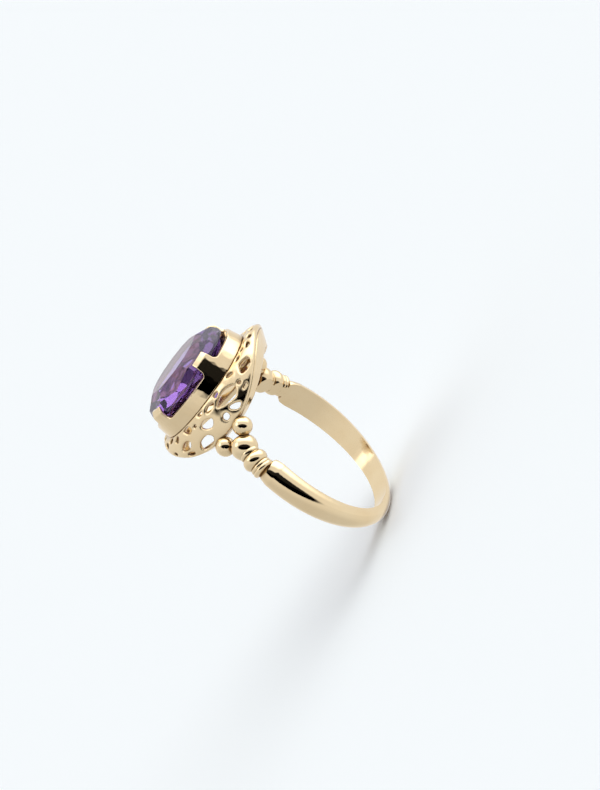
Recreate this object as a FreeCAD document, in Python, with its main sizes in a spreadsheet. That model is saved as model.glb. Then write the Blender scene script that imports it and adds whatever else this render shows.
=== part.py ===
"""Cocktail ring with one oval stone, as a FreeCAD document.

The origin is the centre of the finger hole, Y is the finger's axis, +Z points out of the finger
towards the stone's table, and the two shoulders stand at +X (right) and -X (left).
All sizes are millimetres.
"""
import FreeCAD, Part
import math
import os

import Sketcher

from FreeCAD import Placement, Rotation, Vector

AXIS_X, AXIS_Y, AXIS_Z = Vector(1, 0, 0), Vector(0, 1, 0), Vector(0, 0, 1)
FAR = 30.0  # a length well past the whole ring, for cutters

doc = FreeCAD.newDocument("cocktail_ring")

# ---------------------------------------------------------------- driving dimensions

SIZES = [
    ("finger_radius", 8.65, "inside of the band"),
    ("shank_back_width", 1.8, "band at the back of the finger"),
    ("shank_back_depth", 1.0, "band at the back, measured out from the finger"),
    ("shank_shoulder_width", 2.7, "widest place, next to the shoulder"),
    ("shank_shoulder_depth", 1.4, "thickest place, next to the shoulder"),
    ("shank_nose_width", 1.95, "rounded end against the collars"),
    ("shank_nose_depth", 1.15, "rounded end against the collars"),
    ("shank_lip", 0.15, "straight side between the inside and the half-round"),
    ("stone_half_width", 4.4, "girdle, across the finger's axis"),
    ("stone_half_length", 5.3, "girdle, along the finger's axis"),
    ("oval_fullness", 0.92, "end radius of the stone's oval as a share of its half width"),
    ("girdle_height", 13.35, "underside of the girdle above the finger's axis"),
    ("girdle_band", 0.2, "thickness of the girdle"),
    ("crown_rise", 1.52, "girdle to table"),
    ("crown_step_rise", 0.6, "height of the steep facets next to the girdle"),
    ("crown_step_run", 0.28, "how far those facets lean in"),
    ("crown_star_drop", 0.4, "depth of the star facets below the table"),
    ("table_share", 0.62, "table against girdle"),
    ("pavilion_depth", 3.8, "girdle to culet"),
    ("stone_clearance", 0.03, "between the girdle and the collet wall"),
    ("collet_wall", 0.35, "sheet the collet is made of"),
    ("collet_base", 11.35, "foot of the collet above the finger's axis"),
    ("collet_flare", 0.145, "outward lean of the wall, downward, per unit of height"),
    ("notch_height", 12.8, "top of the wall between the claws"),
    ("claw_azimuth", 33.5, "direction that a claw faces, from the shoulders, in degrees"),
    ("claw_root_width", 1.75, "claw above its rounded root"),
    ("claw_tip_width", 1.4, "claw at its end"),
    ("claw_root_radius", 0.5, "rounding between a claw and the wall beside it"),
    ("claw_fold", 13.85, "height at which a claw bends over the crown"),
    ("claw_reach", 0.45, "how far a claw leans in over the crown"),
    ("claw_rise", 0.42, "how far a claw climbs after its fold"),
    ("bearing_top", 12.8, "ledge that the stone sits on"),
    ("bearing_width", 0.75, "ledge, in from the girdle line"),
    ("gallery_half_width", 6.45, "rim of the gallery across the finger's axis"),
    ("gallery_half_length", 7.3, "rim of the gallery along the finger's axis"),
    ("gallery_squareness", 2.4, "power of the rim's outline; 2 is an ellipse"),
    ("gallery_sheet", 0.5, "thickness of the pierced plate"),
    ("gallery_ledge", 0.1, "plate standing past the foot of the collet"),
    ("gallery_frame", 0.9, "width of the flat frame under the collet"),
    ("gallery_frame_depth", 0.35, "thickness of that frame"),
    ("gallery_belly", 0.25, "outward swell of the plate at half height"),
    ("opening_bulge", 0.08, "outward bow of an opening's sides, as a share of their length"),
    ("head_offset", -0.55, "middle of the stone, along the finger"),
    ("rim_shift", 0.35, "middle of the gallery's rim against the stone, along the finger"),
    ("saddle_height", 11.1, "rim of the gallery at its two tips"),
    ("saddle_width", 9.6, "where the saddle would meet the level of the finger's axis"),
    ("under_half_width", 4.9, "lower edge of the under rail across the finger's axis"),
    ("under_half_length", 6.15, "lower edge of the under rail along the finger's axis"),
    ("under_rise", 0.42, "lower edge of the under rail above the finger"),
    ("under_sheet", 0.3, "thickness of the under rail, inward and upward"),
    ("under_share", 0.15, "top of the under rail as a share of the plate's height"),
    ("ball_radius", 0.95, "solder balls beside the barrel bead"),
    ("ball_spread", 1.36, "each ball's centre from the middle plane"),
    ("ball_angle", 40.9, "from the head's middle round to the balls, in degrees"),
    ("ball_standoff", 1.35, "ball's centre above the inside of the band"),
    ("bead_standoff", 0.92, "centre line of the turned beads above the inside of the band"),
    ("barrel_angle", 48.9, "head's middle to the barrel bead, in degrees"),
    ("barrel_length", 1.7, ""),
    ("barrel_radius", 1.3, ""),
    ("barrel_end_radius", 0.95, ""),
    ("disc_angle", 59.1, "head's middle to the disc bead, in degrees"),
    ("disc_length", 1.25, ""),
    ("disc_radius", 1.23, ""),
    ("disc_end_radius", 0.85, ""),
    ("neck_angle", 54.2, "head's middle to the collar between the beads, in degrees"),
    ("neck_length", 0.5, ""),
    ("neck_radius", 1.0, ""),
    ("neck_end_radius", 0.9, ""),
    ("upper_ring_angle", 63.6, "head's middle to the first thin collar, in degrees"),
    ("upper_ring_length", 0.5, "before it is seated on the disc bead"),
    ("upper_ring_radius", 1.06, ""),
    ("upper_ring_end_radius", 0.86, ""),
    ("lower_ring_angle", 65.5, "head's middle to the second thin collar, in degrees"),
    ("lower_ring_length", 0.5, "before it is seated on its neighbours"),
    ("lower_ring_radius", 1.1, ""),
    ("lower_ring_end_radius", 0.9, ""),
    ("nose_angle", 66.2, "head's middle to the band's end, in degrees"),
]

sheet = doc.addObject("Spreadsheet::Sheet", "Sizes")
for row, (alias, value, meaning) in enumerate(SIZES, start=1):
    sheet.set(f"A{row}", alias)
    sheet.set(f"B{row}", str(value))
    sheet.set(f"C{row}", meaning)
    sheet.setAlias(f"B{row}", alias)
doc.recompute()


def size(alias):
    """A driving dimension as a plain number."""
    return float(sheet.get(alias))


# ---------------------------------------------------------------- places round the finger


def mirrored_to_left(shape):
    return shape.mirror(Vector(0, 0, 0), AXIS_X)


# ---------------------------------------------------------------- checks and bookkeeping

parts = []


def finish_part(feature, label):
    """Name a finished sub-part; its label is its node."""
    feature.Label = label
    parts.append(feature)
    return feature


def shaped(name, shape):
    """A feature whose shape is made with Part's own functions."""
    feature = doc.addObject("Part::Feature", name)
    feature.Shape = shape
    return feature


def finish_head(name, shape, label):
    """Name a finished piece of the head, and shift it with the head along the finger."""
    feature = shaped(name, shape)
    feature.setExpression("Placement.Base.y", "Sizes.head_offset")
    doc.recompute()
    return finish_part(feature, label)


def cut_away(base, name, tools):
    """The base piece seated on its neighbours: their shapes are taken out of it, and so is any
    crumb that this leaves beyond them."""
    shape = base.Shape
    for tool in tools:
        shape = shape.cut(tool.Shape)
    return shaped(name, max(shape.Solids, key=lambda solid: solid.Volume))


# ---------------------------------------------------------------- ovals


def oval_radii(half_width, half_length, fullness):
    """Radii of the end and side arcs of a four-centre oval."""
    end = half_width * fullness
    reach = half_length - end
    side = (half_width**2 + reach**2 - end**2) / (2 * (half_width - end))
    return end, side


def oval_point(oval, azimuth, grow=0.0):
    """Point of an oval where its outward normal has this azimuth (radians), moved out by grow."""
    half_width, half_length, fullness = oval
    end, side = oval_radii(half_width, half_length, fullness)
    end_centre = half_length - end
    side_centre = side - half_width
    steepness = math.atan2(abs(math.sin(azimuth)), abs(math.cos(azimuth)))
    if steepness <= math.atan2(end_centre, side_centre):
        across = (side + grow) * math.cos(steepness) - side_centre
        along = (side + grow) * math.sin(steepness)
    else:
        across = (end + grow) * math.cos(steepness)
        along = (end + grow) * math.sin(steepness) + end_centre
    return math.copysign(across, math.cos(azimuth)), math.copysign(along, math.sin(azimuth))


def oval_wire(oval, height, grow=0.0):
    """Closed wire of four arcs at one height, parallel to the oval at a distance grow."""
    half_width, half_length, fullness = oval
    end, side = oval_radii(half_width, half_length, fullness)
    meet = math.atan2(half_length - end, side - half_width)
    azimuths = [-meet, meet, math.pi - meet, math.pi + meet, 2 * math.pi - meet]
    arcs = []
    for start, stop in zip(azimuths, azimuths[1:]):
        stations = (start, (start + stop) / 2, stop)
        points = [Vector(*oval_point(oval, azimuth, grow), height) for azimuth in stations]
        arcs.append(Part.Arc(*points).toShape())
    return Part.Wire(arcs)


def oval_solid(oval, stations):
    """Ruled solid through parallel ovals, given as (height, grow) from the bottom up."""
    wires = [oval_wire(oval, height, grow) for height, grow in stations]
    return Part.makeLoft(wires, True, True)


stone_oval = (size("stone_half_width"), size("stone_half_length"), size("oval_fullness"))

# ---------------------------------------------------------------- the stone


def outside_of(azimuth, low, high):
    """Block that lies outside a flat facet.

    The facet faces this azimuth and passes through two (reach, height) points in the vertical
    plane of that azimuth, the lower one first.
    """
    run, rise = high[0] - low[0], high[1] - low[1]
    outward = Vector(rise * math.cos(azimuth), rise * math.sin(azimuth), -run)
    on_facet = Vector(low[0] * math.cos(azimuth), low[0] * math.sin(azimuth), low[1])
    block = Part.makeBox(FAR, 2 * FAR, 2 * FAR, Vector(0, -FAR, -FAR))
    block.Placement = Placement(on_facet, Rotation(AXIS_X, outward))
    return block


def make_stone():
    """Oval stone: table, stars, mains and a steep girdle row above; mains and girdle row below."""
    girdle_low = size("girdle_height")
    girdle_high = girdle_low + size("girdle_band")
    step = girdle_high + size("crown_step_rise")
    table = girdle_high + size("crown_rise")
    culet = girdle_low - size("pavilion_depth")
    share = size("table_share")
    mains, halves = 8, 16
    steeper = 1.16  # lower girdle facets against the pavilion's mains
    star_share = 0.3  # how far down its main facet a star reaches

    def reach(azimuth):
        """Distance of the girdle's tangent line from the stone's axis."""
        across, along = oval_point(stone_oval, azimuth)
        return across * math.cos(azimuth) + along * math.sin(azimuth)

    stone = oval_solid(stone_oval, [(culet, 0.0), (table, 0.0)])
    for index in range(mains):
        azimuth = 2 * math.pi * index / mains
        edge = reach(azimuth)
        at_step = edge - size("crown_step_run")
        stone = stone.cut(outside_of(azimuth, (at_step, step), (edge * share, table)))
        stone = stone.cut(outside_of(azimuth, (0.0, culet), (edge, girdle_low)))
        azimuth += math.pi / mains
        edge = reach(azimuth)
        star_out = edge * share + (edge - edge * share) * star_share
        star_low = table - size("crown_star_drop") * star_share
        stone = stone.cut(outside_of(azimuth, (star_out, star_low), (edge * share, table)))
    for index in range(halves):
        azimuth = 2 * math.pi * (index + 0.5) / halves
        edge = reach(azimuth)
        at_step = edge - size("crown_step_run")
        stone = stone.cut(outside_of(azimuth, (edge, girdle_high), (at_step, step)))
        deeper = (edge - edge / steeper, culet)
        stone = stone.cut(outside_of(azimuth, deeper, (edge, girdle_low)))
    return stone.removeSplitter()


stone = make_stone()
amethyst = finish_head("Amethyst", stone, "amethyst")

# ---------------------------------------------------------------- the collet and its bearing


def collet_grow(height):
    """How far outside the girdle line the collet's outer face is at a height."""
    girdle_top = size("girdle_height") + size("girdle_band")
    at_girdle = size("stone_clearance") + size("collet_wall")
    return at_girdle + size("collet_flare") * (girdle_top - height)


def claw_block(azimuth):
    """Upright block that a claw is cut from: straight sides, flared and rounded at the root."""
    low, high = size("notch_height"), size("claw_fold") + size("claw_rise") + 1.0
    flare = size("claw_root_radius")
    root, tip = size("claw_root_width") / 2, size("claw_tip_width") / 2
    corner = flare * (1 - math.sqrt(0.5))
    outline = [
        Part.LineSegment(Vector(0, -root - flare, low - 1.0), Vector(0, root + flare, low - 1.0)),
        Part.LineSegment(Vector(0, root + flare, low - 1.0), Vector(0, root + flare, low)),
        Part.Arc(Vector(0, root + flare, low), Vector(0, root + corner, low + corner),
                 Vector(0, root, low + flare)),
        Part.LineSegment(Vector(0, root, low + flare), Vector(0, tip, high)),
        Part.LineSegment(Vector(0, tip, high), Vector(0, -tip, high)),
        Part.LineSegment(Vector(0, -tip, high), Vector(0, -root, low + flare)),
        Part.Arc(Vector(0, -root, low + flare), Vector(0, -root - corner, low + corner),
                 Vector(0, -root - flare, low)),
        Part.LineSegment(Vector(0, -root - flare, low), Vector(0, -root - flare, low - 1.0)),
    ]
    profile = Part.Face(Part.Wire([side.toShape() for side in outline]))
    block = profile.extrude(AXIS_X * FAR)
    across, along = oval_point(stone_oval, azimuth)
    facing = Rotation(AXIS_Z, math.degrees(azimuth))
    start = Vector(across, along, 0) - facing.multVec(AXIS_X) * size("stone_half_width") / 2
    block.Placement = Placement(start, facing)
    return block


def make_bezel():
    """Flared strip whose wall stops below the girdle, with four claws folded over the crown."""
    base, notch, fold = size("collet_base"), size("notch_height"), size("claw_fold")
    tip = fold + size("claw_rise")
    wall = size("collet_wall")
    at_fold = collet_grow(fold)
    leaning_wall = wall / math.sin(math.atan2(size("claw_rise"), size("claw_reach")))
    outer = oval_solid(stone_oval, [(base, collet_grow(base)), (fold, at_fold),
                                    (tip, at_fold - size("claw_reach"))])
    inner = oval_solid(stone_oval, [(base, collet_grow(base) - wall), (fold, at_fold - wall)])
    under_fold = oval_solid(stone_oval, [(fold, at_fold - leaning_wall),
                                         (tip, at_fold - size("claw_reach") - leaning_wall)])
    strip = outer.cut(inner).cut(under_fold)
    below_notches = Part.makeBox(2 * FAR, 2 * FAR, notch, Vector(-FAR, -FAR, 0))
    bezel = strip.common(below_notches)
    right = math.radians(size("claw_azimuth"))
    for azimuth in (right, math.pi - right, math.pi + right, -right):
        bezel = bezel.fuse(strip.common(claw_block(azimuth)))
    return bezel.removeSplitter().cut(stone)


def make_bearing():
    base, top = size("collet_base"), size("bearing_top")
    wall = size("collet_wall")
    outer = oval_solid(stone_oval, [(base, collet_grow(base) - wall),
                                    (top, collet_grow(top) - wall)])
    inner = oval_solid(stone_oval, [(base, -size("bearing_width")), (top, -size("bearing_width"))])
    return outer.cut(inner).cut(stone)


finish_head("Bezel", make_bezel(), "bezel")
finish_head("Bearing", make_bearing(), "bearing")

# ---------------------------------------------------------------- the gallery


def rounded_outline(azimuth, half_width, half_length):
    """Point of a superellipse in this direction (radians) from its middle, which is shifted."""
    power = size("gallery_squareness")
    across, along = math.cos(azimuth), math.sin(azimuth)
    reach = (abs(across / half_width) ** power + abs(along / half_length) ** power) ** (-1 / power)
    return reach * across, reach * along + size("rim_shift")


def rim_point(azimuth):
    """Point of the gallery's outer edge, which dips between its two tips like a saddle."""
    across, along = rounded_outline(azimuth, size("gallery_half_width"), size("gallery_half_length"))
    dip = math.sqrt(1 - (across / size("saddle_width")) ** 2)
    return Vector(across, along, size("saddle_height") * dip)


def gallery_point(azimuth, drop, depth=0.0):
    """Point of the pierced plate.

    drop runs from 0 at the collet's foot to 1 at the rim, and depth is measured inward from the
    outer face.
    """
    foot = collet_grow(size("collet_base")) + size("gallery_ledge")
    top = Vector(*oval_point(stone_oval, azimuth, foot), size("collet_base"))
    fall = rim_point(azimuth) - top
    outward = Vector(-math.sin(azimuth), math.cos(azimuth), 0).cross(fall).normalize()
    if outward.z < 0:
        outward = outward * -1
    swell = size("gallery_belly") * 4 * drop * (1 - drop)
    return top + fall * drop + outward * (swell - depth)


def under_point(azimuth, drop, side):
    """Point of the under rail, which turns in from the plate's inner face towards the finger.

    side is 0 on its outer face and 1 on its inner face.
    """
    inward = size("under_sheet") * side
    start = gallery_point(azimuth, 1 - size("under_share") * side, size("gallery_sheet"))
    across, along = rounded_outline(azimuth, size("under_half_width") - inward,
                                    size("under_half_length") - inward)
    radius = size("finger_radius") + size("under_rise") + inward
    low = Vector(across, along, math.sqrt(radius**2 - across**2))
    return start + (low - start) * drop


def sheet_ring(point, drop, side, stations=48):
    """Closed smooth curve round a sheet."""
    points = [point(2 * math.pi * (index + 0.5) / stations, drop, side)
              for index in range(stations)]
    curve = Part.BSplineCurve()
    curve.interpolate(Points=points, PeriodicFlag=True)
    return Part.Wire([curve.toShape()])


def sheet_solid(point, outer_side, inner_side):
    """Solid sheet between drop 0 and drop 1."""
    drops = (0.0, 0.5, 1.0)
    outer = [sheet_ring(point, drop, outer_side) for drop in drops]
    inner = [sheet_ring(point, drop, inner_side) for drop in drops]
    faces = Part.makeLoft(outer, False, False).Faces + Part.makeLoft(inner, False, False).Faces
    for rank in (0, -1):
        faces += Part.makeRuledSurface(outer[rank], inner[rank]).Faces
    joined = Part.makeShell(faces)
    joined.sewShape()
    solid = Part.makeSolid(joined)
    if solid.Volume < 0:
        solid.reverse()
    return solid


def opening_cutter(corners):
    """Plug through the plate, square to it.

    Its outline passes through corners given as (azimuth in degrees, drop), and its sides bow out.
    """
    middle_azimuth = math.radians(sum(azimuth for azimuth, drop in corners) / len(corners))
    middle_drop = sum(drop for azimuth, drop in corners) / len(corners)
    nudge, half_sheet = 0.01, size("gallery_sheet") / 2
    centre = gallery_point(middle_azimuth, middle_drop, half_sheet)
    around = (gallery_point(middle_azimuth + nudge, middle_drop)
              - gallery_point(middle_azimuth - nudge, middle_drop))
    down = (gallery_point(middle_azimuth, middle_drop + nudge)
            - gallery_point(middle_azimuth, middle_drop - nudge))
    normal = around.cross(down).normalize()
    points = []
    for azimuth, drop in corners:
        point = gallery_point(math.radians(azimuth), drop, half_sheet)
        points.append(point - normal * (point - centre).dot(normal))
    sides = []
    for start, stop in zip(points, points[1:] + points[:1]):
        bow = (stop - start).cross(normal) * size("opening_bulge")
        halfway = (start + stop) / 2
        if bow.dot(halfway - centre) < 0:
            bow = bow * -1
        sides.append(Part.Arc(start, halfway + bow, stop).toShape())
    through = size("gallery_sheet") * 1.6
    outline = Part.Face(Part.Wire(sides))
    outline.translate(normal * -through)
    return outline.extrude(normal * 2 * through)


# corners of each opening on the right side, as (azimuth in degrees, drop)
SIDE_OPENINGS = {
    "middle leaf": [(-9.3, 0.33), (-3.8, 0.28), (2.8, 0.43), (-2.4, 0.58), (-8.5, 0.46)],
    "middle eye": [(-4.5, 0.06), (1.2, 0.06), (0.6, 0.12), (-3, 0.12)],
    "round eye": [(-14, 0.2), (-12, 0.155), (-10.2, 0.2), (-12, 0.25)],
    "back window": [(-24.5, 0.07), (-17, 0.06), (-16.5, 0.21), (-20.5, 0.27)],
    "back slot": [(-36.5, 0.07), (-33, 0.09), (-38.5, 0.28), (-43.5, 0.26)],
    "back foot slot": [(-56, 0.09), (-46, 0.07), (-50, 0.2), (-58, 0.3)],
    "back leaf": [(-30.5, 0.37), (-26.5, 0.46), (-33.5, 0.66), (-42.5, 0.63), (-38, 0.47)],
    "back oval": [(-26, 0.87), (-22.5, 0.67), (-11.5, 0.62), (-9.5, 0.76), (-14.5, 0.89)],
    "back rim leaf": [(-42, 0.82), (-32.5, 0.79), (-33.5, 0.87), (-39, 0.89)],
    "back corner leaf": [(-57.5, 0.8), (-54, 0.71), (-51, 0.76), (-53.5, 0.87)],
    "back end leaf": [(-67, 0.34), (-61, 0.42), (-65, 0.68), (-71, 0.56)],
    "back tip leaf": [(-84, 0.36), (-77, 0.32), (-76, 0.6), (-83, 0.66)],
    "front slot": [(2, 0.2), (6, 0.13), (12.4, 0.15), (12.2, 0.22), (5, 0.26)],
    "front foot slot": [(15.2, 0.07), (21, 0.07), (19.5, 0.15), (16.2, 0.17)],
    "front leaf": [(11, 0.345), (24.5, 0.24), (34, 0.46), (33.5, 0.52), (28, 0.65)],
    "front oval": [(7.5, 0.68), (10.5, 0.6), (14, 0.64), (14, 0.76), (9.5, 0.79)],
    "front sliver": [(17.5, 0.62), (21.5, 0.66), (28, 0.87), (23, 0.88), (19, 0.74)],
    "upper leaf": [(32, 0.09), (36, 0.06), (42.5, 0.17), (41, 0.25)],
    "small wedge": [(36.3, 0.54), (38.8, 0.52), (41, 0.64), (38.8, 0.68)],
    "rim wedge": [(36.5, 0.8), (40.5, 0.79), (44, 0.87), (41, 0.89)],
    "tall leaf": [(51.5, 0.36), (61.5, 0.74), (57, 0.88), (46, 0.62), (46.5, 0.5)],
    "front shoulder slot": [(52.5, 0.13), (59, 0.09), (61.5, 0.24), (57, 0.29)],
    "front end slot": [(64.5, 0.13), (68.5, 0.1), (71.5, 0.34), (67.5, 0.4)],
    "front end leaf": [(69, 0.62), (73, 0.48), (77.5, 0.54), (74, 0.77)],
    "front tip slot": [(75.5, 0.12), (81, 0.12), (82, 0.3), (77, 0.32)],
    "front tip leaf": [(82, 0.52), (87, 0.54), (86.5, 0.76), (81, 0.76)],
}


def make_plate():
    """Plate with a flat frame under the collet, before it is pierced."""
    plate = sheet_solid(gallery_point, 0.0, size("gallery_sheet"))
    base = size("collet_base")
    foot = collet_grow(base) + size("gallery_ledge")
    low = base - size("gallery_frame_depth")
    outer_edge = foot - size("gallery_ledge") / 2
    inner_edge = outer_edge - size("gallery_frame")
    frame = oval_solid(stone_oval, [(low, outer_edge), (base, outer_edge)])
    frame = frame.cut(oval_solid(stone_oval, [(low, inner_edge), (base, inner_edge)]))
    return plate.fuse(frame)


def pierce(plate):
    for corners in SIDE_OPENINGS.values():
        plug = opening_cutter(corners)
        plate = plate.cut(plug).cut(mirrored_to_left(plug))
    return plate


gallery = finish_head("Gallery", pierce(make_plate()), "gallery")
under_rail = finish_head("UnderRail", sheet_solid(under_point, 0, 1), "under_rail")

# ---------------------------------------------------------------- sketches and bodies

START, END, CENTRE = 1, 2, 3  # the points of a sketch line, arc or circle
ALONG, UPRIGHT = -1, -2  # a sketch's own two axes

def bind(feature, expressions):
    """Tie a feature's properties to the sheet."""
    for name, expression in expressions.items():
        feature.setExpression(name, expression)


def origin_plane(body, role):
    return next(item for item in body.Origin.OriginFeatures if item.Role == role)


def new_sketch(body, name, plane):
    sketch = body.newObject("Sketcher::SketchObject", name)
    sketch.AttachmentSupport = (origin_plane(body, plane), "")
    sketch.MapMode = "FlatFace"
    return sketch


def constrain(sketch, *definition, expression=None):
    """Add a constraint, bound to the sheet where it has an expression."""
    index = sketch.addConstraint(Sketcher.Constraint(*definition))
    if expression:
        sketch.setExpression(f"Constraints[{index}]", expression)


def pocket_finger(body, centre, expression):
    """Cut the finger's cylinder, whose axis runs along the body's Y, out of a body."""
    sketch = new_sketch(body, "FingerCircle", "XZ_Plane")
    circle = sketch.addGeometry(Part.Circle(Vector(centre, 0, 0), AXIS_Z, size("finger_radius")))
    constrain(sketch, "Radius", circle, size("finger_radius"), expression="Sizes.finger_radius")
    constrain(sketch, "PointOnObject", circle, CENTRE, ALONG)
    if expression:
        constrain(sketch, "DistanceX", circle, CENTRE, ALONG, START, -centre, expression=expression)
    else:
        constrain(sketch, "PointOnObject", circle, CENTRE, UPRIGHT)
    pocket = body.newObject("PartDesign::Pocket", "FingerHole")
    pocket.Profile = sketch
    pocket.Type = "ThroughAll"
    pocket.SideType = "Symmetric"
    body.Tip = pocket


# ---------------------------------------------------------------- the band


def band_section(body, rank, share, weights):
    """Half-round section of the band, square to it.

    share runs from 0 at the back to 1 at the nose. weights say how much of the back's, the
    shoulder's and the nose's width and depth the section has.
    """
    sweep = math.radians(180 - size("nose_angle")) * share
    sink = 0.2  # below the finger's surface, taken off again by the finger's cylinder
    ends = ("back", "shoulder", "nose")
    width_rule = " + ".join(f"{weight:.4f} * Sizes.shank_{end}_width" for weight, end in zip(weights, ends))
    depth_rule = " + ".join(f"{weight:.4f} * Sizes.shank_{end}_depth" for weight, end in zip(weights, ends))
    width = sum(weight * size(f"shank_{end}_width") for weight, end in zip(weights, ends))
    depth = sum(weight * size(f"shank_{end}_depth") for weight, end in zip(weights, ends))
    lip = size("shank_lip")
    rise = depth - lip
    radius = (width**2 / 4 + rise**2) / (2 * rise)
    radius_rule = (f"(({width_rule}) ^ 2 / 4 + ({depth_rule} - Sizes.shank_lip) ^ 2)"
                   f" / (2 * ({depth_rule} - Sizes.shank_lip))")

    sketch = new_sketch(body, f"Section{rank}", "XY_Plane")
    outward = Vector(math.sin(sweep), 0, -math.cos(sweep))
    turn = Rotation(AXIS_Y, outward, AXIS_Y.cross(outward), "ZXY")
    sketch.AttachmentOffset = Placement(outward * size("finger_radius"), turn)
    bind(sketch, {"AttachmentOffset.Base.x": f"Sizes.finger_radius * {outward.x:.8f}",
                  "AttachmentOffset.Base.z": f"Sizes.finger_radius * {outward.z:.8f}"})
    low_left, low_right = Vector(-width / 2, -sink, 0), Vector(width / 2, -sink, 0)
    lip_left, lip_right = Vector(-width / 2, lip, 0), Vector(width / 2, lip, 0)
    base = sketch.addGeometry(Part.LineSegment(low_left, low_right))
    right = sketch.addGeometry(Part.LineSegment(low_right, lip_right))
    crown = sketch.addGeometry(Part.Arc(lip_right, Vector(0, depth, 0), lip_left))
    left = sketch.addGeometry(Part.LineSegment(lip_left, low_left))
    constrain(sketch, "Coincident", base, END, right, START)
    constrain(sketch, "Coincident", right, END, crown, START)
    constrain(sketch, "Coincident", crown, END, left, START)
    constrain(sketch, "Coincident", left, END, base, START)
    constrain(sketch, "Symmetric", base, START, base, END, UPRIGHT)
    constrain(sketch, "Vertical", right)
    constrain(sketch, "Vertical", left)
    constrain(sketch, "Horizontal", crown, START, crown, END)
    constrain(sketch, "DistanceX", base, START, base, END, width, expression=width_rule)
    constrain(sketch, "DistanceY", base, START, ALONG, START, sink)
    constrain(sketch, "DistanceY", ALONG, START, crown, START, lip, expression="Sizes.shank_lip")
    constrain(sketch, "Radius", crown, radius, expression=radius_rule)
    return sketch


def make_shank():
    """Band from shoulder to shoulder: thin at the back, swelling to a rounded nose."""
    body = doc.addObject("PartDesign::Body", "Shank")
    peak = 0.93  # where the swelling is widest, as a share of the way to the nose
    steps, nose_steps = 9, 4
    taper, nose = [], []
    for rank in range(steps + 1):
        along = rank / steps
        swell = along**2 * (3 - 2 * along)
        taper.append(band_section(body, rank, along * peak, (1 - swell, swell, 0)))
    for rank in range(nose_steps + 1):
        turn = math.pi / 2 * rank / nose_steps
        swell = math.cos(turn)
        share = peak + (1 - peak) * math.sin(turn)
        nose.append(band_section(body, steps + 1 + rank, share, (0, swell, 1 - swell)))
    lofts = []
    for name, sections in (("Taper", taper), ("Nose", nose)):
        loft = body.newObject("PartDesign::AdditiveLoft", name)
        loft.Profile = sections[0]
        loft.Sections = sections[1:]
        lofts.append(loft)
    mirror = body.newObject("PartDesign::Mirrored", "WholeBand")
    mirror.Originals = lofts
    mirror.MirrorPlane = (origin_plane(body, "YZ_Plane"), [""])
    body.Tip = mirror
    doc.recompute()
    pocket_finger(body, 0.0, None)
    doc.recompute()
    return body


shank = finish_part(make_shank(), "shank")

# ---------------------------------------------------------------- the turned shoulder beads


def turned_body(name, prefix, side):
    """Barrel-shaped piece turned about the band's direction, its inside cut to the finger.

    prefix names its sizes in the sheet; side is 1 for the right shoulder and -1 for the left.
    """
    body = doc.addObject("PartDesign::Body", name)
    half, waist, rim = size(f"{prefix}_length") / 2, size(f"{prefix}_radius"), size(f"{prefix}_end_radius")
    sag = waist - rim
    radius = (half**2 + sag**2) / (2 * sag)
    sag_rule = f"(Sizes.{prefix}_radius - Sizes.{prefix}_end_radius)"
    radius_rule = f"((Sizes.{prefix}_length / 2) ^ 2 + {sag_rule} ^ 2) / (2 * {sag_rule})"

    profile = new_sketch(body, "Profile", "XZ_Plane")
    corners = [Vector(0, -half, 0), Vector(rim, -half, 0), Vector(rim, half, 0), Vector(0, half, 0)]
    low = profile.addGeometry(Part.LineSegment(corners[0], corners[1]))
    bulge = profile.addGeometry(Part.Arc(corners[1], Vector(waist, 0, 0), corners[2]))
    high = profile.addGeometry(Part.LineSegment(corners[2], corners[3]))
    axis = profile.addGeometry(Part.LineSegment(corners[3], corners[0]))
    constrain(profile, "Coincident", low, END, bulge, START)
    constrain(profile, "Coincident", bulge, END, high, START)
    constrain(profile, "Coincident", high, END, axis, START)
    constrain(profile, "Coincident", axis, END, low, START)
    constrain(profile, "Symmetric", axis, START, axis, END, ALONG, START)
    constrain(profile, "PointOnObject", axis, START, UPRIGHT)
    constrain(profile, "Horizontal", low)
    constrain(profile, "Horizontal", high)
    constrain(profile, "DistanceX", low, START, low, END, rim, expression=f"Sizes.{prefix}_end_radius")
    constrain(profile, "DistanceY", axis, END, axis, START, 2 * half, expression=f"Sizes.{prefix}_length")
    constrain(profile, "Equal", low, high)
    constrain(profile, "Radius", bulge, radius, expression=radius_rule)

    turning = body.newObject("PartDesign::Revolution", "Turning")
    turning.Profile = profile
    turning.ReferenceAxis = (profile, ["V_Axis"])
    turning.Angle = 360
    body.Tip = turning
    doc.recompute()
    to_finger = size("finger_radius") + size("bead_standoff")
    pocket_finger(body, -side * to_finger, "Sizes.finger_radius + Sizes.bead_standoff" if side > 0
                  else "-(Sizes.finger_radius + Sizes.bead_standoff)")

    angle = size(f"{prefix}_angle")
    outward = Vector(side * math.sin(math.radians(angle)), 0, math.cos(math.radians(angle)))
    body.Placement = Placement(outward * to_finger, Rotation(AXIS_Y, side * (angle - 90)))
    out_rule = "(Sizes.finger_radius + Sizes.bead_standoff)"
    bind(body, {"Placement.Base.x": f"{side} * {out_rule} * sin(Sizes.{prefix}_angle * 1 deg)",
                "Placement.Base.z": f"{out_rule} * cos(Sizes.{prefix}_angle * 1 deg)"})
    doc.recompute()
    return body


def ball(name, side, fore):
    """Solder ball; fore is 1 towards +Y and -1 towards -Y."""
    sphere = doc.addObject("Part::Sphere", name)
    out_rule = "(Sizes.finger_radius + Sizes.ball_standoff)"
    bind(sphere, {"Radius": "Sizes.ball_radius",
                  "Placement.Base.x": f"{side} * {out_rule} * sin(Sizes.ball_angle * 1 deg)",
                  "Placement.Base.y": f"{fore} * Sizes.ball_spread",
                  "Placement.Base.z": f"{out_rule} * cos(Sizes.ball_angle * 1 deg)"})
    doc.recompute()
    return sphere


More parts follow.
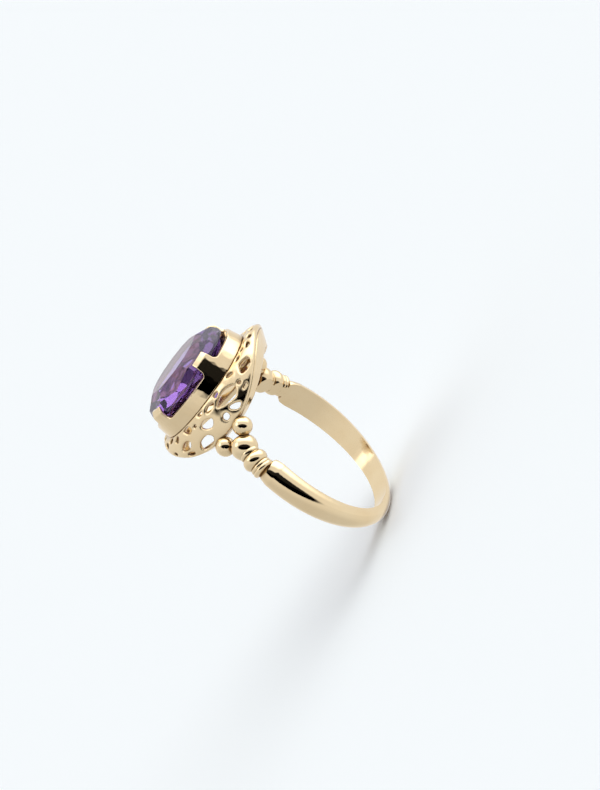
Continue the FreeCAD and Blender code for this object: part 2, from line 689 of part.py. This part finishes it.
def make_shoulder(side, side_name):
    """The row of beads between the gallery and the band, each seated against its neighbours."""
    barrel = turned_body(f"Barrel_{side_name}", "barrel", side)
    disc = turned_body(f"Disc_{side_name}", "disc", side)
    neck = turned_body(f"Neck_{side_name}", "neck", side)
    upper_ring = turned_body(f"UpperRing_{side_name}", "upper_ring", side)
    lower_ring = turned_body(f"LowerRing_{side_name}", "lower_ring", side)
    finish_part(cut_away(barrel, f"BarrelSeated_{side_name}", [gallery, under_rail]),
                f"barrel_bead_{side_name}")
    finish_part(disc, f"disc_bead_{side_name}")
    finish_part(cut_away(neck, f"NeckSeated_{side_name}", [barrel, disc]), f"neck_collar_{side_name}")
    finish_part(cut_away(upper_ring, f"UpperRingSeated_{side_name}", [disc]),
                f"upper_collar_{side_name}")
    finish_part(cut_away(lower_ring, f"LowerRingSeated_{side_name}", [upper_ring, shank]),
                f"lower_collar_{side_name}")
    for fore, end_name in ((1, "front"), (-1, "back")):
        sphere = ball(f"Ball_{side_name}_{end_name}", side, fore)
        finish_part(cut_away(sphere, f"BallSeated_{side_name}_{end_name}", [gallery, under_rail, barrel]),
                    f"ball_{side_name}_{end_name}")


make_shoulder(1, "right")
make_shoulder(-1, "left")

# ---------------------------------------------------------------- checking and writing


def check_document():
    doc.recompute()
    for item in doc.Objects:
        faults = {"Invalid", "Error"} & set(item.State)
        if faults:
            raise RuntimeError(f"{item.Name} is {faults}")
    for part in parts:
        if part.Shape.isNull() or not part.Shape.isValid():
            raise RuntimeError(f"{part.Label} has no valid shape")


check_document()
os.makedirs("parts", exist_ok=True)
for part in parts:
    part.Shape.exportStep(os.path.join("parts", part.Label + ".step"))
    print(part.Label, "solids", len(part.Shape.Solids), "volume", round(part.Shape.Volume, 3))
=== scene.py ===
"""Looks of the cocktail ring: finishes, softened castings, studio light and camera."""
import math

import bpy
from mathutils import Matrix, Vector


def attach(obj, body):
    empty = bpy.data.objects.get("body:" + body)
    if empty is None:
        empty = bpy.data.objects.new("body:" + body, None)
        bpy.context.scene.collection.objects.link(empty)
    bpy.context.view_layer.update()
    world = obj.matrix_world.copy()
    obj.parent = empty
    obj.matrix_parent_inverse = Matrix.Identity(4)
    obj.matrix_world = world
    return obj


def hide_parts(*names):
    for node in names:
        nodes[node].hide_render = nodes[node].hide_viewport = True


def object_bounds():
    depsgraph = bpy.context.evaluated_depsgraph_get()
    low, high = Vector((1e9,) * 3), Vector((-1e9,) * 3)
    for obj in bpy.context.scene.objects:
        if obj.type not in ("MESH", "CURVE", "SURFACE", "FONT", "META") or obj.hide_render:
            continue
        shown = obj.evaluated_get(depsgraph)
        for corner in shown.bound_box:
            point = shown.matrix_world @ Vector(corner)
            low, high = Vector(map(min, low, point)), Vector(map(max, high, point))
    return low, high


MM = 0.001
BODY = "root"

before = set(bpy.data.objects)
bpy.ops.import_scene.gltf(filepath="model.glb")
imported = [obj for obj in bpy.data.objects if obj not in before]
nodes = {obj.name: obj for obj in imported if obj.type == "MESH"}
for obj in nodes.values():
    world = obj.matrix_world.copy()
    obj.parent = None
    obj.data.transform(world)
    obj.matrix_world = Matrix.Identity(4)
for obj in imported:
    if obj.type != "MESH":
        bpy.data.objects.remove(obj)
cad_low, cad_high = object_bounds()
scene = bpy.context.scene
scene.view_settings.view_transform = "Standard"

# ---------------------------------------------------------------- colours (linear)

GOLD = (0.90, 0.735, 0.475)
GOLD_DEEP = (0.84, 0.64, 0.375)
# dark brown mixed in by ambient occlusion: painted shade in the recesses
GOLD_PAINTED_SHADE = (0.26, 0.15, 0.055)
STONE_CLEAR = (0.56, 0.43, 0.86)
STONE_TINT = (0.42, 0.29, 0.76)
STONE_ABSORBS = (0.46, 0.16, 0.50)
PAPER = (0.92, 0.962, 0.99)
STUDIO_WHITE = (1.0, 0.995, 0.99)

# ---------------------------------------------------------------- node trees

MIX_FACTOR, MIX_FIRST, MIX_SECOND = 0, 6, 7  # input sockets of a colour mix node
MIX_RESULT = 2  # its output socket
NOISE_LOW, NOISE_HIGH = 0.3, 0.7  # where most of a noise texture's values lie


class Nodes:
    """Adds and joins the nodes of one tree."""

    def __init__(self, tree):
        self.tree = tree
        tree.nodes.clear()

    def add(self, kind, inputs=None, **settings):
        """A new node with these settings, and these values on its input sockets."""
        node = self.tree.nodes.new(kind)
        for name, value in settings.items():
            setattr(node, name, value)
        for socket, value in (inputs or {}).items():
            node.inputs[socket].default_value = value
        return node

    def link(self, output, socket):
        self.tree.links.new(output, socket)

    def join(self, start, output, end, socket):
        self.link(start.outputs[output], end.inputs[socket])

    def noise(self, coordinates, size, detail):
        """Noise whose features are about this size across."""
        texture = self.add("ShaderNodeTexNoise", {"Scale": 1 / size, "Detail": detail})
        self.join(coordinates, "Object", texture, "Vector")
        return texture

    def remap(self, texture, low, high):
        """The middle of a noise texture's range, spread over low .. high."""
        ranged = self.add("ShaderNodeMapRange", {"From Min": NOISE_LOW, "From Max": NOISE_HIGH,
                                                 "To Min": low, "To Max": high})
        self.join(texture, "Fac", ranged, "Value")
        return ranged

    def mix(self, amount, first):
        """A mix node from `first`, by a map-range node's result, to a second colour set later."""
        mixed = self.add("ShaderNodeMix", {MIX_FIRST: (*first, 1)}, data_type="RGBA")
        self.join(amount, "Result", mixed, MIX_FACTOR)
        return mixed

    def number(self, operation, first, second=0.0):
        """Output of a math node on two values, each a number or another node's output."""
        node = self.add("ShaderNodeMath", operation=operation)
        for socket, value in enumerate((first, second)):
            if isinstance(value, (int, float)):
                node.inputs[socket].default_value = value
            else:
                self.link(value, node.inputs[socket])
        return node.outputs[0]


def new_material(name):
    material = bpy.data.materials.new(name)
    material.use_nodes = True
    return material, Nodes(material.node_tree)


# ---------------------------------------------------------------- gold

# size and detail of the noise behind each unevenness
TINT_DRIFT = (2.4 * MM, 3)
POLISH_DRIFT = (0.7 * MM, 4)
RIPPLE = (1.1 * MM, 1)
SCRATCHES = (0.09 * MM, 2)

RIPPLE_DEPTH, SCRATCH_DEPTH = 0.05 * MM, 0.01 * MM
SCRATCH_STRENGTH = 0.05
DEEPEST_TINT = 0.45  # share of the bright gold where the colour is deepest
RECESS_REACH = 0.9 * MM  # how near a wall has to be for the painted shade to darken a recess
RECESSED, OPEN = 0.3, 0.95  # openness at which the gold is fully dark with painted shade, and fully bright
CAST_EDGE = 0.3 * MM  # radius that the shading gives a casting's edges
RECESS_SAMPLES, EDGE_SAMPLES = 8, 6


def gold_colour(tree, coordinates):
    """Mix node for gold whose tint drifts, with shade painted darker into its recesses by ambient
    occlusion.
    """
    amount = tree.remap(tree.noise(coordinates, *TINT_DRIFT), DEEPEST_TINT, 1.0)
    tint = tree.mix(amount, GOLD_DEEP)
    tint.inputs[MIX_SECOND].default_value = (*GOLD, 1)

    hollow = tree.add("ShaderNodeAmbientOcclusion", {"Distance": RECESS_REACH},
                      samples=RECESS_SAMPLES)
    openness = tree.add("ShaderNodeMapRange", {"From Min": RECESSED, "From Max": OPEN},
                        interpolation_type="SMOOTHSTEP")
    tree.join(hollow, "AO", openness, "Value")
    # painted shade: the dark brown takes over where walls close round a recess
    painted_shade = tree.mix(openness, GOLD_PAINTED_SHADE)
    tree.join(tint, MIX_RESULT, painted_shade, MIX_SECOND)
    return painted_shade


def make_gold(name, smooth, rough, ripple, rounding=0.0):
    """Polished gold: roughness from smooth to rough, a faint ripple, fine scratches."""
    material, tree = new_material(name)
    output = tree.add("ShaderNodeOutputMaterial")
    shader = tree.add("ShaderNodeBsdfPrincipled", {"Metallic": 1.0})
    coordinates = tree.add("ShaderNodeTexCoord")
    tree.join(gold_colour(tree, coordinates), MIX_RESULT, shader, "Base Color")

    roughness = tree.remap(tree.noise(coordinates, *POLISH_DRIFT), smooth, rough)
    tree.join(roughness, "Result", shader, "Roughness")

    soft = tree.add("ShaderNodeBump", {"Strength": ripple, "Distance": RIPPLE_DEPTH})
    tree.join(tree.noise(coordinates, *RIPPLE), "Fac", soft, "Height")
    if rounding:
        edges = tree.add("ShaderNodeBevel", {"Radius": rounding}, samples=EDGE_SAMPLES)
        tree.join(edges, "Normal", soft, "Normal")
    fine = tree.add("ShaderNodeBump", {"Strength": SCRATCH_STRENGTH, "Distance": SCRATCH_DEPTH})
    tree.join(tree.noise(coordinates, *SCRATCHES), "Fac", fine, "Height")
    tree.join(soft, "Normal", fine, "Normal")
    tree.join(fine, "Normal", shader, "Normal")
    tree.join(shader, "BSDF", output, "Surface")
    return material


# ---------------------------------------------------------------- stone

STONE_TRANSMISSION = 0.94
STONE_IOR = 1.55
STONE_DENSITY = 120.0  # of the absorption, per metre
ZONING = (3.0 * MM, 1)  # size and detail of the noise that its colour follows


def make_stone_material():
    """Polished purple quartz: tinted at its surface in soft zones, and by absorption within."""
    material, tree = new_material("amethyst_quartz")
    output = tree.add("ShaderNodeOutputMaterial")
    shader = tree.add("ShaderNodeBsdfPrincipled", {"Transmission Weight": STONE_TRANSMISSION,
                                                   "IOR": STONE_IOR, "Roughness": 0.0})
    coordinates = tree.add("ShaderNodeTexCoord")
    tint = tree.mix(tree.remap(tree.noise(coordinates, *ZONING), 0.0, 1.0), STONE_TINT)
    tint.inputs[MIX_SECOND].default_value = (*STONE_CLEAR, 1)
    tree.join(tint, MIX_RESULT, shader, "Base Color")
    depth = tree.add("ShaderNodeVolumeAbsorption", {"Color": (*STONE_ABSORBS, 1),
                                                    "Density": STONE_DENSITY})
    tree.join(shader, "BSDF", output, "Surface")
    tree.join(depth, "Volume", output, "Volume")
    return material


gold = make_gold("gold_polished", smooth=0.03, rough=0.11, ripple=0.12)
gold_cast = make_gold("gold_cast", smooth=0.04, rough=0.14, ripple=0.5, rounding=CAST_EDGE)
gold_inner = make_gold("gold_bright_cut", smooth=0.08, rough=0.18, ripple=0.2)
quartz = make_stone_material()

# ---------------------------------------------------------------- finishes on the CAD nodes

FINISHES = {"amethyst": quartz, "bearing": gold_inner, "gallery": gold_cast, "under_rail": gold_cast}

# Width and segments of the bevels. The collet's is on the mesh that its cast copy is made from.
# The band has none, because a bevel leaves faults in the shading inside it.
BEAD_EDGE = (0.06 * MM, 3)
OTHER_EDGES = {"bearing": (0.04 * MM, 2), "bezel": (0.09 * MM, 3)}
UNBEVELLED = ("amethyst", "gallery", "under_rail", "shank")
WELD = 0.002 * MM
SHARP = math.radians(32)
NORMALS_WEIGHT = 80

# Copies with cast, soft edges: node, copy's name, slot, voxel and rounds of smoothing.
CASTINGS = (
    ("gallery", "gallery_openwork", "gold_pierced", 0.055 * MM, 48),
    ("under_rail", "gallery_under_rail", "gold_pierced", 0.07 * MM, 12),
    ("bezel", "polished_collet", "gold", 0.045 * MM, 8),
)
SMOOTHING = 0.5


def dress(piece, material):
    piece.data.materials.clear()
    piece.data.materials.append(material)


def soften(piece, width, segments):
    """Rounds a machined node's edges: its glTF seams are welded, then its sharp edges bevelled."""
    weld = piece.modifiers.new("weld", "WELD")
    weld.merge_threshold = WELD
    bevel = piece.modifiers.new("edges", "BEVEL")
    bevel.width = width
    bevel.segments = segments
    bevel.limit_method = "ANGLE"
    bevel.angle_limit = SHARP
    normals = piece.modifiers.new("normals", "WEIGHTED_NORMAL")
    normals.keep_sharp = False
    normals.weight = NORMALS_WEIGHT


def cast_copy(name, node, voxel, rounds):
    """A node's shape as a casting comes out of its mould: remeshed and smoothed, edges soft."""
    copy = nodes[node].copy()
    copy.data = nodes[node].data.copy()
    copy.name = name
    for key in list(copy.keys()):
        del copy[key]
    copy.parent = None
    scene.collection.objects.link(copy)
    remesh = copy.modifiers.new("cast", "REMESH")
    remesh.mode = "VOXEL"
    remesh.voxel_size = voxel
    remesh.use_smooth_shade = True
    smooth = copy.modifiers.new("smooth", "SMOOTH")
    smooth.factor = SMOOTHING
    smooth.iterations = rounds
    bpy.context.view_layer.update()
    evaluated = copy.evaluated_get(bpy.context.evaluated_depsgraph_get())
    mesh = bpy.data.meshes.new_from_object(evaluated)
    copy.modifiers.clear()
    copy.data = mesh
    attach(copy, BODY)
    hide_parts(node)
    return copy


for name, node in nodes.items():
    dress(node, FINISHES.get(name, gold))
    if name not in UNBEVELLED:
        soften(node, *OTHER_EDGES.get(name, BEAD_EDGE))

for node, name, slot, voxel, rounds in CASTINGS:
    dress(cast_copy(name, node, voxel, rounds), FINISHES.get(node, gold))

# ---------------------------------------------------------------- camera

CAMERA_AZIMUTH, CAMERA_ELEVATION, CAMERA_ROLL = 24.425, 11.015, -55.413
CAMERA_DISTANCE = 295.8 * MM
CAMERA_CLIP = 10 * MM
LOOK_AT = Vector((-2.206, 3.270, 3.375)) * MM
LENS, SENSOR = 142.5, 36.0  # in millimetres, as Blender takes them


def direction(azimuth, elevation):
    """Unit vector at an azimuth from +X towards +Y and an elevation, in degrees."""
    turn, lift = math.radians(azimuth), math.radians(elevation)
    return Vector((math.cos(lift) * math.cos(turn), math.cos(lift) * math.sin(turn), math.sin(lift)))


def camera_axes():
    """Directions to the picture's right, to its top, and from the ring to the camera."""
    back = direction(CAMERA_AZIMUTH, CAMERA_ELEVATION)
    level_right = Vector((0, 0, 1)).cross(back).normalized()
    level_up = back.cross(level_right)
    roll = math.radians(CAMERA_ROLL)
    right = level_right * math.cos(roll) + level_up * math.sin(roll)
    return right, back.cross(right), back


RIGHT, UP, BACK = camera_axes()


def make_camera():
    data = bpy.data.cameras.new("camera")
    data.lens = LENS
    data.sensor_width = SENSOR
    data.clip_start = CAMERA_CLIP
    camera = bpy.data.objects.new("camera", data)
    scene.collection.objects.link(camera)
    place = Matrix((RIGHT, UP, BACK)).transposed().to_4x4()
    place.translation = LOOK_AT + BACK * CAMERA_DISTANCE
    camera.matrix_world = place
    scene.camera = camera


# ---------------------------------------------------------------- floor

FLOOR_REACH = 3000 * MM


def make_floor():
    """Pale paper under the ring. Metal sees the studio in its place."""
    material, tree = new_material("paper_floor")
    output = tree.add("ShaderNodeOutputMaterial")
    paper = tree.add("ShaderNodeBsdfDiffuse", {"Color": (*PAPER, 1)})
    tree.join(paper, "BSDF", output, "Surface")
    square = ((-1, -1), (1, -1), (1, 1), (-1, 1))
    corners = [(x * FLOOR_REACH, y * FLOOR_REACH, cad_low[2]) for x, y in square]
    mesh = bpy.data.meshes.new("floor")
    mesh.from_pydata(corners, [], [(0, 1, 2, 3)])
    mesh.materials.append(material)
    floor = bpy.data.objects.new("floor", mesh)
    scene.collection.objects.link(floor)
    floor.visible_glossy = False


# ---------------------------------------------------------------- studio

STUDIO_LEVEL = 0.715
STUDIO_GLOSS = 0.18  # how much lighter metal and glass see the studio than the floor does
ALIGNED = 0.9  # cosine past which an area is so near UP that its upright comes from BACK

# Soft ellipses in the studio: name, direction, half-width and half-height (as sines), softness of
# the edge (as a share of them), and how much lighter the area is.
STUDIO_AREAS = (
    ("light overhead", UP, 0.75, 0.55, 0.25, 1.35),
    ("dark room behind the camera", BACK, 0.80, 0.40, 0.10, -0.88),
    ("shaded table", -UP, 0.90, 0.80, 0.35, -0.22),
    ("window on the left", (-RIGHT + 0.35 * UP + 0.3 * BACK).normalized(), 0.25, 0.25, 0.15, 1.0),
)


def along(tree, coordinates, axis):
    """How far the looked-at direction goes along an axis."""
    dot = tree.add("ShaderNodeVectorMath", {1: axis}, operation="DOT_PRODUCT")
    tree.join(coordinates, "Generated", dot, 0)
    return dot.outputs["Value"]


def area(tree, coordinates, centre, half_width, half_height, soft, change):
    """Output that is `change` inside a soft ellipse round a direction, and 0 outside it."""
    guide = BACK if abs(centre.dot(UP)) > ALIGNED else UP
    across = guide.cross(centre).normalized()
    upright = centre.cross(across)
    wide = tree.number("DIVIDE", along(tree, coordinates, across), half_width)
    high = tree.number("DIVIDE", along(tree, coordinates, upright), half_height)
    squares = [tree.number("MULTIPLY", share, share) for share in (wide, high)]
    spread = tree.number("SQRT", tree.number("ADD", *squares))
    edge = tree.add("ShaderNodeMapRange", {"From Min": 1 + soft, "From Max": 1 - soft,
                                           "To Min": 0.0, "To Max": change},
                    interpolation_type="SMOOTHSTEP")
    tree.link(spread, edge.inputs["Value"])
    facing = tree.number("GREATER_THAN", along(tree, coordinates, centre), 0.0)
    return tree.number("MULTIPLY", edge.outputs["Result"], facing)


def make_world():
    """Pale studio with an overhead light, a window and the dark room behind the camera."""
    world = bpy.data.worlds.new("studio")
    scene.world = world
    world.use_nodes = True
    tree = Nodes(world.node_tree)
    output = tree.add("ShaderNodeOutputWorld")
    coordinates = tree.add("ShaderNodeTexCoord")
    path = tree.add("ShaderNodeLightPath")
    shiny = tree.number("MAXIMUM", path.outputs["Is Glossy Ray"],
                        path.outputs["Is Transmission Ray"])
    level = tree.number("ADD", tree.number("MULTIPLY", shiny, STUDIO_GLOSS), STUDIO_LEVEL)
    for name, *shape in STUDIO_AREAS:
        level = tree.number("ADD", level, area(tree, coordinates, *shape))
    studio = tree.add("ShaderNodeBackground", {"Color": (*STUDIO_WHITE, 1)})
    tree.link(level, studio.inputs["Strength"])
    backdrop = tree.add("ShaderNodeBackground", {"Color": (*PAPER, 1)})
    seen = tree.add("ShaderNodeMixShader")
    tree.join(path, "Is Camera Ray", seen, "Fac")
    tree.join(studio, "Background", seen, 1)
    tree.join(backdrop, "Background", seen, 2)
    tree.join(seen, "Shader", output, "Surface")


make_camera()
make_floor()
make_world()
